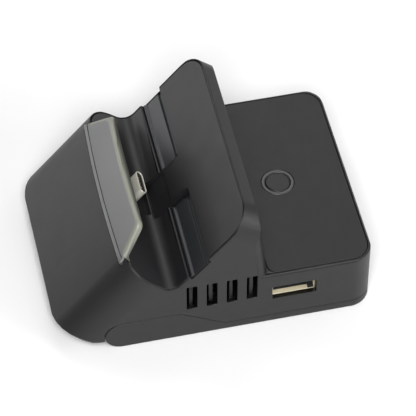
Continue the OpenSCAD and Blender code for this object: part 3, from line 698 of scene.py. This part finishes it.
@dataclass
class Cradle(SubAssembly):
    """The slot moulding with its back rest and the two rest pads."""

    edge: float = 0.45
    lip_s: float = -9.8
    well_x: float = 12.0
    well_s: float = -15.5
    share: float = 0.55
    well_share: float = 0.15
    near: float = 0.2
    pad_x: float = 7.3
    pad_low: float = -9.7
    pad_high: float = -1.7
    pad_under: float = -2.3
    flange: float = -2.0
    face: float = -1.3
    face_high: float = -2.9
    face_r: float = 1.8
    bead_r: float = 0.68
    bead_h: float = 0.75
    bead_power: float = 1.2
    pad_edge: float = 0.1
    pad_angle: float = 60.0
    slope: float = 0.22
    fine: float = 0.16
    end_fine: float = 3.6

    def build(self) -> None:
        """Make the cradle's pieces."""
        bm = weld("cradle_insert")
        mark(bm, self.edge_share)
        moulding = publish(bm, "cradle_moulding", INSERT_ABS, replaces=("cradle_insert",))
        soften(moulding, self.edge, slide=True)
        for side, sign in (("left", -1), ("right", 1)):
            name = f"pad_strip_{side}"
            soften(publish(self.pad(sign), name, PAD_RUBBER, replaces=(f"rest_pad_{side}",)), self.pad_edge)

    def edge_share(self, place: Vector) -> float:
        """Return the share of the rounding: whole along the lip under the pads, little at the plug's well."""
        local = self.dock.cradle().inverted() @ (place * MM) / MM
        if abs(local.x) < self.well_x and local.y < self.well_s:
            return self.well_share
        at_lip = abs(local.y - self.lip_s) < self.near and abs(local.z) < self.near
        return 1.0 if at_lip else self.share

    def height(self, x: float, s: float) -> float:
        """Return how high a pad stands at a place on it.

        Args:
            x: distance from the middle of the dock in millimetres.
            s: place up the slope.

        Returns:
            The height in the cradle's frame: a flange, a face with a round corner, and a round-ended bead.
        """
        dx, ds = x - self.pad_x - self.face_r, s - self.face_high + self.face_r
        inside = self.face_r - math.hypot(min(dx, 0), max(ds, 0)) if dx < 0 and ds > 0 else -(ds - self.face_r)
        rise = min(max(inside / self.slope, 0), 1)
        high = self.flange + (self.face - self.flange) * rise * rise * (3 - 2 * rise)
        middle = self.pad_low + self.bead_r
        far = math.hypot(min(x - self.pad_x - self.bead_r, 0), s - middle) / self.bead_r
        return high + self.bead_h * math.sqrt(max(1 - far * far, 0)) ** self.bead_power

    def pad(self, sign: int) -> bmesh.types.BMesh:
        """Make a rest pad as a moulded strip.

        Args:
            sign: 1 for the right pad and -1 for the left one.

        Returns:
            The pad's closed mesh, in metres.
        """
        dense = int(self.end_fine / self.fine)
        xs = [self.pad_x + self.fine * i for i in range(dense + 1)]
        xs += [xs[-1] + (self.dock.insert_w - xs[-1]) * i / 6 for i in range(1, 7)]
        count = round((self.pad_high - self.pad_low) / self.fine)
        rows = [self.pad_low + (self.pad_high - self.pad_low) * j / count for j in range(count + 1)]
        bm = bmesh.new()
        place = self.dock.cradle()
        upper = [
            [bm.verts.new(place @ (Vector((sign * x, s, self.height(x, s))) * MM)) for s in rows] for x in xs
        ]
        under = [[bm.verts.new(place @ (Vector((sign * x, s, self.pad_under)) * MM)) for s in rows] for x in xs]
        for i in range(len(xs) - 1):
            for j in range(count):
                for net in (upper, under):
                    bm.faces.new((net[i][j], net[i + 1][j], net[i + 1][j + 1], net[i][j + 1]))
            for j in (0, count):
                bm.faces.new((upper[i][j], upper[i + 1][j], under[i + 1][j], under[i][j]))
        for i in (0, len(xs) - 1):
            for j in range(count):
                bm.faces.new((upper[i][j], upper[i][j + 1], under[i][j + 1], under[i][j]))
        bmesh.ops.recalc_face_normals(bm, faces=bm.faces)
        mark(bm, angle=self.pad_angle)
        return bm


@dataclass
class LightBar(SubAssembly):
    """The frosted bar and the lamps under its foot."""

    edge: float = 0.85
    low_edge: float = 0.35
    lamp_edge: float = 0.1
    flat_angle: float = 8.0
    tip_s: float = -16.6
    tip_x: float = 25.0
    root_x: float = 27.35
    flank_n: float = 16.5
    groove_low: float = -18.25
    groove_high: float = -17.8
    face_tilt: float = 0.8

    def build(self) -> None:
        """Make the bar, with painted highlight on its end and top faces and painted shade on its root and
        groove, and the lamps.
        """
        bm = weld("light_bar")
        to_cradle = self.dock.cradle().inverted()
        # Whole facets on the flanks, so that the wide rounding runs evenly round the bar's corners.
        flanks = [f for f in bm.faces if abs((to_cradle.to_3x3() @ f.normal).z) < self.face_tilt]
        flat = math.radians(self.flat_angle)
        bmesh.ops.join_triangles(bm, faces=flanks, angle_face_threshold=flat, angle_shape_threshold=math.pi)
        mark(bm, self.edge_share)
        # Painted light: end, top and flank faces get the paler edge plastic as painted highlight; the thin tips
        # and the groove's walls get the near-black one as painted shade.
        for face in bm.faces:
            place = to_cradle @ face.calc_center_median() / MM
            tilt = (to_cradle.to_3x3() @ face.normal).z
            in_groove = self.groove_low < place.y < self.groove_high
            shaded = abs(place.x) > self.root_x or (in_groove and tilt < self.face_tilt)
            face.material_index = 2 if shaded else int(tilt < self.face_tilt)
        bar = publish(bm, "light_bar_frosted", FROSTED, replaces=("light_bar",))
        bar.data.materials.append(FROSTED_EDGE_LIGHT.material())
        bar.data.materials.append(FROSTED_SHADE.material())
        # The roundings get the paler edge plastic: painted highlight along the bar's edges.
        soften(bar, self.edge, 3, material=1, slide=True)
        self.rounded("bar_lamps", "lamp_row", LAMP_RESIN, self.lamp_edge)

    def edge_share(self, place: Vector) -> float:
        """Return the share of the rounding: whole round the face, none on the flanks and the thin tips."""
        local = self.dock.cradle().inverted() @ (place * MM) / MM
        if local.z < self.flank_n or (local.y < self.tip_s and abs(local.x) > self.tip_x):
            return 0.0
        if local.y < self.groove_low - 1:
            return self.low_edge / self.edge
        return 0.0 if local.y < self.tip_s else 1.0


@dataclass
class Deck(SubAssembly):
    """The inlaid plate, the mode button and its switch."""

    plate_edge: float = 0.2
    ring_edge: float = 0.28
    cap_edge: float = 0.42
    switch_edge: float = 0.15

    def build(self) -> None:
        """Make the deck's pieces; the cap and the plunger ride on the button."""
        self.rounded("deck_plate", "deck_inlay", DECK_ABS, self.plate_edge)
        self.rounded("button_ring", "ring_trim", RING_ABS, self.ring_edge)
        self.rounded("mode_button", "button_cap", CAP_ABS, self.cap_edge, Body.BUTTON)
        self.rounded("switch_plunger", "plunger_pin", BLACK_NYLON, self.switch_edge, Body.BUTTON)
        self.rounded("switch_housing", "switch_case", SWITCH_STEEL, self.switch_edge)
        self.dress("button_board", SOLDER_MASK)
        self.screws("button_board_screws", "button_board_screw_set", Vector((0, 0, -1)))


@dataclass
class Plug(SubAssembly):
    """The upright plug, its contacts, and the block and board that carry it."""

    out: float = 7.0
    plug_n: float = 8.5
    mouth_deep: float = 5.0
    mouth_t: float = 1.0
    contact_w: float = 0.25
    contact_t: float = 0.12
    pitch: float = 0.5
    count: int = 12
    tip_gap: float = 0.9
    contact_edge: float = 0.04
    sleeve_edge: float = 0.1
    core_edge: float = 0.05
    block_edge: float = 0.2

    def build(self) -> None:
        """Make the plug's pieces."""
        self.rounded("plug_shell", "plug_sleeve", NICKEL, self.sleeve_edge)
        self.rounded("plug_liner", "plug_core", BLACK_NYLON, self.core_edge)
        self.contacts()
        self.rounded("plug_holder", "plug_block", BLACK_NYLON, self.block_edge)
        self.dress("plug_board", SOLDER_MASK)
        self.screws("plug_board_screws", "plug_board_screw_set", -self.dock.cradle().to_3x3().col[1])

    def contacts(self) -> None:
        """Make the two rows of contacts in the plug's mouth."""
        bm = bmesh.new()
        top = self.dock.floor_s + self.out - self.tip_gap
        low = self.dock.floor_s + self.out - self.mouth_deep
        for i in range(self.count):
            x = (i - (self.count - 1) / 2) * self.pitch
            for n0 in (self.plug_n - self.mouth_t / 2, self.plug_n + self.mouth_t / 2 - self.contact_t):
                corner = Vector((x - self.contact_w / 2, low, n0))
                far = Vector((x + self.contact_w / 2, top, n0 + self.contact_t))
                box(bm, corner, far, self.dock.cradle())
        mark(bm)
        soften(publish(bm, "plug_contacts", GOLD), self.contact_edge)


@dataclass
class Sockets(SubAssembly):
    """The side socket with a dark sheet over its floor as painted shade, and the two rear sockets."""

    sleeve_edge: float = 0.1
    side_blade_edge: float = 0.2
    display_blade_edge: float = 0.15
    inlet_sleeve_edge: float = 0.08
    inlet_blade_edge: float = 0.1
    base: tuple[Vector, Vector] = (Vector((20.0, 17.6, 10.7)), Vector((31.75, 28.0, 11.0)))
    shade_sheet_end: tuple[Vector, Vector] = (Vector((20.0, 27.9, 10.7)), Vector((33.2, 29.75, 11.6)))

    def build(self) -> None:
        """Make the sockets' pieces."""
        # Painted shade: a dark nylon sheet over the deeper part of the side socket's floor and along its lip,
        # for the shade in its mouth.
        bm = bmesh.new()
        box(bm, *self.base)
        box(bm, *self.shade_sheet_end)
        mark(bm)
        soften(publish(bm, "side_socket_shade_sheet", BLACK_NYLON), self.sleeve_edge)
        self.rounded("side_socket_shell", "side_socket_sleeve", BRASS_SHIELD, self.sleeve_edge)
        self.rounded("side_socket_tongue", "side_socket_blade", IVORY_NYLON, self.side_blade_edge)
        self.rounded("display_socket_shell", "display_socket_sleeve", NICKEL, self.sleeve_edge)
        self.rounded("display_socket_tongue", "display_socket_blade", BLACK_NYLON, self.display_blade_edge)
        self.rounded("power_inlet_shell", "power_inlet_sleeve", NICKEL, self.inlet_sleeve_edge)
        self.rounded("power_inlet_tongue", "power_inlet_blade", BLACK_NYLON, self.inlet_blade_edge)


@dataclass
class Electronics(SubAssembly):
    """The main board, what is on it, and the ribbon from the plug board."""

    package_edge: float = 0.1
    parts_edge: float = 0.15

    def build(self) -> None:
        """Make the pieces inside the housing."""
        self.dress("main_board", SOLDER_MASK)
        self.rounded("main_chip", "controller_package", EPOXY, self.package_edge)
        self.rounded("board_parts", "board_components", EPOXY, self.parts_edge)
        self.dress("ribbon", FLAT_CABLE)
        self.rounded("ribbon_sockets", "ribbon_connectors", IVORY_NYLON, self.package_edge)
        self.screws("board_screws", "board_screw_set", Vector((0, 0, 1)))


# Studio


@dataclass
class SoftLight:
    """A square softbox that looks at a point of the object."""

    name: str
    place: tuple[float, float, float]
    target: tuple[float, float, float]
    size: float
    power: float

    def build(self) -> None:
        """Make the light."""
        lamp = bpy.data.lights.new(self.name, "AREA")
        lamp.shape = "SQUARE"
        lamp.size = self.size
        lamp.energy = self.power
        holder = bpy.data.objects.new(self.name, lamp)
        bpy.context.scene.collection.objects.link(holder)
        holder.location = self.place
        aim = Vector(self.target) - Vector(self.place)
        holder.rotation_euler = aim.to_track_quat("-Z", "Y").to_euler()
        log.info("light %s", self.name)


@dataclass
class Studio:
    """Floor, light and camera."""

    floor_size: float = 6.0
    floor_cells: int = 8
    floor: Finish = LitPaper(
        "white_paper_sweep", "", "#f4f4f4", "#f2f2f2", 0.9, 1.4, patch=400.0, grain=20.0, glow=0.02
    )
    world: str = "#ffffff"
    world_power: float = 0.02
    lens: float = 225.0
    sensor: float = 36.0
    clip: tuple[float, float] = (0.05, 20.0)
    eye: tuple[float, float, float] = (0.49561, -0.10537, 0.61882)
    right: tuple[float, float, float] = (0.21709, 0.97615, 0.0)
    up: tuple[float, float, float] = (-0.74703, 0.16613, 0.64370)
    lights: tuple[SoftLight, ...] = (
        SoftLight("front_softbox", (0.5, -0.11, 0.64), (0.0, 0.0, 0.02), 0.35, 6.3),
        SoftLight("key_softbox", (-0.75, -0.75, 0.3), (0.0, 0.0, 0.02), 0.6, 3.2),
        SoftLight("left_softbox", (-0.75, 0.1, 0.8), (0.0, 0.0, 0.02), 0.6, 3.1),
        SoftLight("rear_softbox", (0.55, 0.9, 0.4), (0.0, 0.0, 0.02), 0.6, 6.2),
        SoftLight("high_softbox", (-0.1, 0.8, 0.8), (0.0, 0.0, 0.02), 0.6, 1.9),
        SoftLight("back_softbox", (-0.75, 0.7, 0.35), (0.0, 0.0, 0.02), 0.6, 1.1),
    )

    def build(self) -> None:
        """Make the floor, the world, the lights and the camera."""
        bm = bmesh.new()
        cells = self.floor_cells
        bmesh.ops.create_grid(bm, x_segments=cells, y_segments=cells, size=self.floor_size / 2)
        mesh = bpy.data.meshes.new("studio_floor")
        bm.to_mesh(mesh)
        bm.free()
        mesh.materials.append(self.floor.material())
        sweep = bpy.data.objects.new("studio_floor", mesh)
        bpy.context.scene.collection.objects.link(sweep)
        sweep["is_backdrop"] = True
        world = bpy.data.worlds.new("studio_world")
        world.use_nodes = True
        world.node_tree.nodes.clear()
        sky = add(
            world.node_tree, "ShaderNodeBackground", {"Color": linear(self.world), "Strength": self.world_power}
        )
        add(world.node_tree, "ShaderNodeOutputWorld", links={"Surface": sky.outputs[0]})
        bpy.context.scene.world = world
        for light in self.lights:
            light.build()
        # Tones come out as the light gives them, so that the sweep reads as white paper.
        bpy.context.scene.view_settings.view_transform = "Standard"
        self.camera()

    def camera(self) -> None:
        """Make the camera where the photograph was taken from."""
        data = bpy.data.cameras.new("photo_camera")
        data.lens = self.lens
        data.sensor_width = self.sensor
        data.clip_start, data.clip_end = self.clip
        camera = bpy.data.objects.new("photo_camera", data)
        bpy.context.scene.collection.objects.link(camera)
        right, up = Vector(self.right), Vector(self.up)
        turn = Matrix((right, up, right.cross(up))).transposed()
        camera.matrix_world = Matrix.Translation(self.eye) @ turn.to_4x4()
        bpy.context.scene.camera = camera


def clear_defaults() -> None:
    """Remove the cube, camera and light that a new Blender file starts with."""
    ours = set(frame["nodes"].values()) | set(frame["bodies"].values())
    for thing in [o for o in bpy.context.scene.objects if o not in ours]:
        bpy.data.objects.remove(thing)


def corners() -> list[list[float]]:
    """Return the shown object's lowest and highest corner as plain lists."""
    return [list(corner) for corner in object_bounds()]


def main() -> None:
    """Build every sub-assembly in order, then the studio."""
    logging.basicConfig(level=logging.INFO, format="%(name)s: %(message)s")
    clear_defaults()
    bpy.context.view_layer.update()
    dock = Dock()
    assemblies = (
        Housing(dock), Cradle(dock), LightBar(dock), Deck(dock), Plug(dock), Sockets(dock), Electronics(dock),
    )
    for assembly in assemblies:
        log.info("building %s", type(assembly).__name__)
        assembly.build()
    Studio().build()


if __name__ == "__main__":
    main()
